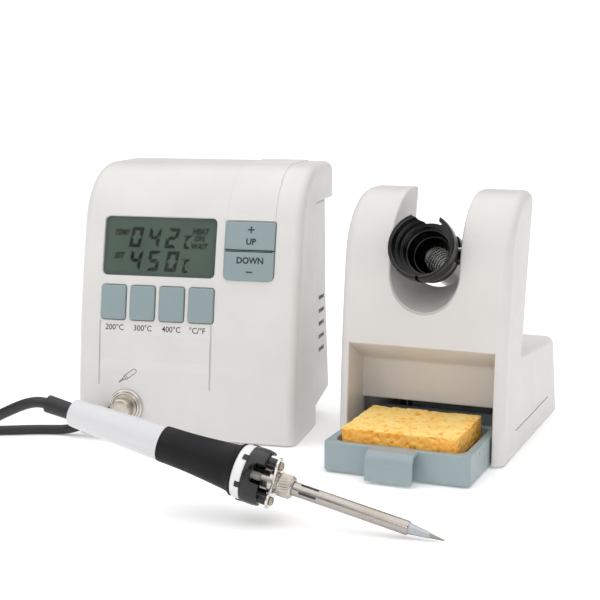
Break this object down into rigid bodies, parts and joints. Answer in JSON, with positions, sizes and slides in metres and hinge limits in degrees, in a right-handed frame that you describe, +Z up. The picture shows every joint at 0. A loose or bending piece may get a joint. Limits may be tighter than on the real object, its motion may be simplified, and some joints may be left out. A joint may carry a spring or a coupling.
{
  "type": "soldering iron station",
  "caption": "Bench soldering station: an upright temperature controller with display and keys, an iron on a coiled cord, and a holder with tilting funnel, sponge tray and sponge.",
  "frame": {"origin": "middle of the footprint of controller, holder and iron, on the bench surface", "axes": "+Z up; +X to the right and +Y to the back, seen from the front of the controller; the iron lies along X in front"},
  "size_m": [0.4034, 0.2789, 0.1576],
  "materials": {
    "case_light": "moulded, fine matt grain",
    "case_key": "moulded blue-grey keys",
    "tray_plastic": "moulded blue-grey, satin",
    "handle_light": "moulded light handle",
    "collar_ivory": "moulded ivory",
    "black_plastic": "moulded black",
    "soft_black": "matt soft grip and feet",
    "cord_black": "flexible cord jacket",
    "window": "clear display window",
    "lcd_grey": "display module",
    "board_green": "circuit board",
    "switch_black": "switches and component bodies",
    "steel_core": "laminated core",
    "copper_coil": "varnished winding",
    "plate_steel": "plated sheet steel",
    "chrome_ring": "bright ring nut",
    "barrel_steel": "polished stainless tube",
    "tip_iron": "plated tip, dulled by heat",
    "nut_brass": "plated knurled nut",
    "screw_steel": "plated screws",
    "ballast_iron": "painted ballast",
    "heater_ceramic": "alumina heater",
    "spring_steel": "blackened spring wire",
    "sponge_yellow": "cellulose sponge"
  },
  "bodies": {
    "station": {"front_shell": "case_light", "rear_cover": "case_light", "base_plate": "plate_steel", "station_feet": "soft_black", "case_screws": "screw_steel", "lcd_window": "window", "lcd_module": "lcd_grey", "display_board": "board_green", "tact_switches": "switch_black", "main_board": "board_green", "board_parts": "switch_black", "transformer_core": "steel_core", "transformer_coil": "copper_coil", "transformer_bracket": "plate_steel", "socket_body": "black_plastic", "socket_nut": "chrome_ring", "switch_frame": "black_plastic", "fuse_holder": "black_plastic", "mains_gland": "black_plastic", "plug_body": "plate_steel", "plug_boot": "soft_black", "cord_plug_side": "cord_black", "cord_coil": "cord_black", "cord_iron_side": "cord_black", "cord_tie": "black_plastic"},
    "key_preset_1": {"key_preset_1": "case_key"},
    "key_preset_2": {"key_preset_2": "case_key"},
    "key_preset_3": {"key_preset_3": "case_key"},
    "key_preset_4": {"key_preset_4": "case_key"},
    "key_up": {"key_up": "case_key"},
    "key_down": {"key_down": "case_key"},
    "power_rocker": {"power_rocker": "black_plastic"},
    "iron": {"rear_handle": "handle_light", "grip_sleeve": "soft_black", "handle_collar": "collar_ivory", "guard_ring": "black_plastic", "flange_plate": "chrome_ring", "flange_screws": "screw_steel", "thread_nipple": "nut_brass", "heater_rod": "heater_ceramic", "terminal_board": "board_green", "cord_boot": "soft_black"},
    "barrel": {"barrel_tube": "barrel_steel", "soldering_tip": "tip_iron"},
    "barrel_nut": {"barrel_nut": "nut_brass"},
    "holder": {"holder_shell": "case_light", "holder_base": "plate_steel", "holder_weight": "ballast_iron", "holder_feet": "soft_black", "holder_screws": "screw_steel", "funnel_pins": "screw_steel"},
    "funnel": {"funnel": "black_plastic", "rest_spring": "spring_steel"},
    "tray": {"sponge_tray": "tray_plastic"},
    "sponge": {"sponge": "sponge_yellow"}
  },
  "joints": [
    {"name": "key_preset_1_press", "type": "slide", "parent": "station", "child": "key_preset_1", "axis": [0, 0.9859, -0.1675], "range_m": [0, 0.0012], "stiffness_N_per_m": 700},
    {"name": "key_preset_2_press", "type": "slide", "parent": "station", "child": "key_preset_2", "axis": [0, 0.9859, -0.1675], "range_m": [0, 0.0012], "stiffness_N_per_m": 700},
    {"name": "key_preset_3_press", "type": "slide", "parent": "station", "child": "key_preset_3", "axis": [0, 0.9859, -0.1675], "range_m": [0, 0.0012], "stiffness_N_per_m": 700},
    {"name": "key_preset_4_press", "type": "slide", "parent": "station", "child": "key_preset_4", "axis": [0, 0.9859, -0.1675], "range_m": [0, 0.0012], "stiffness_N_per_m": 700},
    {"name": "key_up_press", "type": "slide", "parent": "station", "child": "key_up", "axis": [0, 0.9715, -0.2369], "range_m": [0, 0.0012], "stiffness_N_per_m": 700},
    {"name": "key_down_press", "type": "slide", "parent": "station", "child": "key_down", "axis": [0, 0.9783, -0.2071], "range_m": [0, 0.0012], "stiffness_N_per_m": 700},
    {"name": "power_rocker_tilt", "type": "hinge", "parent": "station", "child": "power_rocker", "pos_m": [-0.1033, 0.0786, 0.04729], "axis": [0, -0.1426, 0.9898], "range_deg": [-16, 0]},
    {"name": "iron_lift", "type": "slide", "parent": "station", "child": "iron", "axis": [0, 0, 1], "range_m": [0, 0.08]},
    {"name": "barrel_pull", "type": "slide", "parent": "iron", "child": "barrel", "axis": [0.9707, -0.0849, -0.225], "range_m": [0, 0.06]},
    {"name": "barrel_nut_turn", "type": "hinge", "parent": "barrel", "child": "barrel_nut", "pos_m": [0.02455, -0.12651, 0.0189], "axis": [-0.9707, 0.0849, 0.225], "continuous": true},
    {"name": "holder_lift", "type": "slide", "parent": "station", "child": "holder", "axis": [0, 0, 1], "range_m": [0, 0.08]},
    {"name": "funnel_tilt", "type": "hinge", "parent": "holder", "child": "funnel", "pos_m": [0.07206, 0.01329, 0.1112], "axis": [0.9903, -0.1392, 0], "range_deg": [-12, 10]},
    {"name": "tray_slide", "type": "slide", "parent": "holder", "child": "tray", "axis": [-0.1392, -0.9903, 0], "range_m": [-0.038, 0.03]},
    {"name": "sponge_lift", "type": "slide", "parent": "tray", "child": "sponge", "axis": [0, 0, 1], "range_m": [0, 0.03]}
  ]
}
